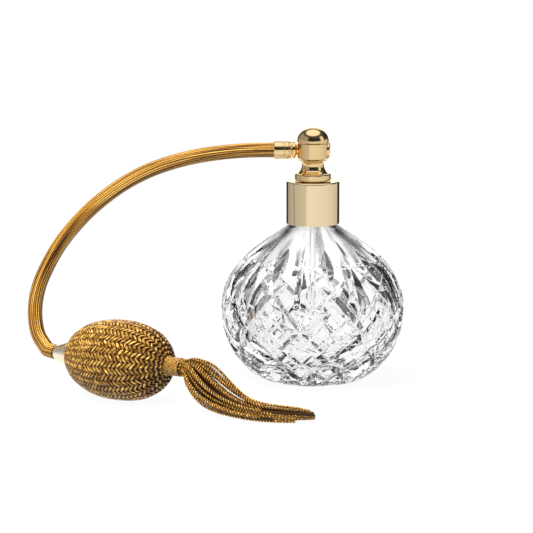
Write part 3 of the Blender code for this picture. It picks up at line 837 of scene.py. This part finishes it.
# ---- tassel ----
def twisted_cord(verts, faces, uvs, shade_and_roughness, line, radius, tone):
    """Adds one twisted cord along a line to the lists: two plies that wind round each other."""
    length = np.linalg.norm(np.diff(line, axis=0), axis=1).sum()
    line, along = even_points(line, max(30, int(length / CORD_STEP)))
    side, up = tube_frames(line)
    turns = 2 * np.pi * np.arange(CORD_SIDES) / CORD_SIDES
    twist = 2 * np.pi * along / CORD_TWIST + rng.random() * 6.28
    ply = 1 + 0.24 * np.cos(2 * (turns[None, :] - twist[:, None]))
    r = radius * ply
    ring = (line[:, None] + r[..., None] * (np.cos(turns)[None, :, None] * side[:, None]
                                            + np.sin(turns)[None, :, None] * up[:, None]))
    ring[..., 2] = np.maximum(ring[..., 2], 0.02)
    first = len(verts)
    verts.extend(ring.reshape(-1, 3))
    shift = rng.random() * 50
    for a in range(len(line)):
        for k in range(CORD_SIDES):
            uvs.append((k * 0.5 + shift, along[a] + shift))
            # Painted shade: darker in the grooves between the two plies, scaled by the cord's tone.
            shade_and_roughness.append(tone * (ply[a, k] - 0.76) / 0.48)
    faces.extend(tube_faces(first, len(line), CORD_SIDES))


def make_tassel():
    """Twisted cords spread over the bundle's outline, a few of them loose above it, with uneven ends."""
    verts, faces, uvs, shade_and_roughness = [], [], [], []
    centres = spline_points([s[0] for s in TASSEL_STATIONS], 6)
    sizes = spline_points([(s[1], s[2]) for s in TASSEL_STATIONS], 6)
    ahead = np.gradient(centres, axis=0)
    ahead /= np.linalg.norm(ahead, axis=1)[:, None]
    side = np.cross(ahead, Z_AXIS)
    side /= np.linalg.norm(side, axis=1)[:, None]
    up = np.cross(side, ahead)
    root = BULB_CENTRE + 33.4 * BULB_AXIS
    for k in range(CORDS):
        is_loose = k >= CORDS - LOOSE_CORDS
        share = math.sqrt((k + 0.5) / CORDS)
        turn = k * GOLDEN_TURN
        a, b = share * math.cos(turn), share * math.sin(turn)
        wander = rng.normal(0, 0.05, 2)
        drift = np.linspace(0, 1, len(centres))[:, None]
        x = np.clip(a + wander[0] * drift * 5, -1.1, 1.1)
        y = np.clip(b + wander[1] * drift * 5, -1.05, 1.05)
        if is_loose:
            x = np.full_like(drift, 0.25 * (k - CORDS + 2))
            y = np.full_like(drift, 0.95)
            a, b = 0.2, 0.9
        spread = 1 + 0.7 * smoothstep((drift - 0.75) / 0.25)
        line = centres + side * x * sizes[:, :1] * 0.92 * spread + up * y * sizes[:, 1:] * 0.9
        if is_loose:
            arch = np.sin(np.pi * np.clip((drift - 0.08) / 0.62, 0, 1)) ** 1.4
            line = line + arch * np.array([2.6, 0.0, 1.7 + 0.6 * (CORDS - k)])
        start = root + BULB_SIDE * a * 3.6 + Z_AXIS * b * 3.6
        line = np.vstack([start, start + BULB_AXIS * 1.2, line])
        keep = len(line) - int(rng.integers(0, 19) if share > 0.35 else 0)
        line = spline_points(line[:keep:3], 3)
        line[:, 2] = np.maximum(line[:, 2], 0.7)
        # Painted shade: the cords inside the bundle are dark; the outer ones vary in tone at random.
        tone = 0.16 if share < 0.62 else rng.uniform(0.78, 1.30)
        twisted_cord(verts, faces, uvs, shade_and_roughness, line, CORD_R, tone)
    mesh = thread_mesh("tassel", verts, faces, uvs, shade_and_roughness)
    obj = add_object("tassel", mesh, CORD_THREAD, "tail")
    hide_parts("tassel_skirt", "tassel_knot")


# ---- CAD pieces kept as they are ----
def dress_cad():
    for node, mat in (("neck_gasket", RUBBER), ("threaded_liner", LINER), ("retaining_nut", BRASS),
                      ("dip_tube", TUBE), ("bulb_barb", BRASS), ("rubber_bulb", RUBBER),
                      ("tail_valve_body", BRASS), ("ball_retainer", BRASS), ("inlet_ball", STEEL)):
        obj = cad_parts[node]
        obj.data.materials.clear()
        obj.data.materials.append(mat)
    squeeze(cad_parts["rubber_bulb"])


make_camera()
make_floor()
make_world()
make_lights()
bpy.context.scene.view_settings.view_transform = "Standard"
make_hose()
make_bottle()
make_head()
make_net()
make_bulb_ends()
make_tassel()
dress_cad()
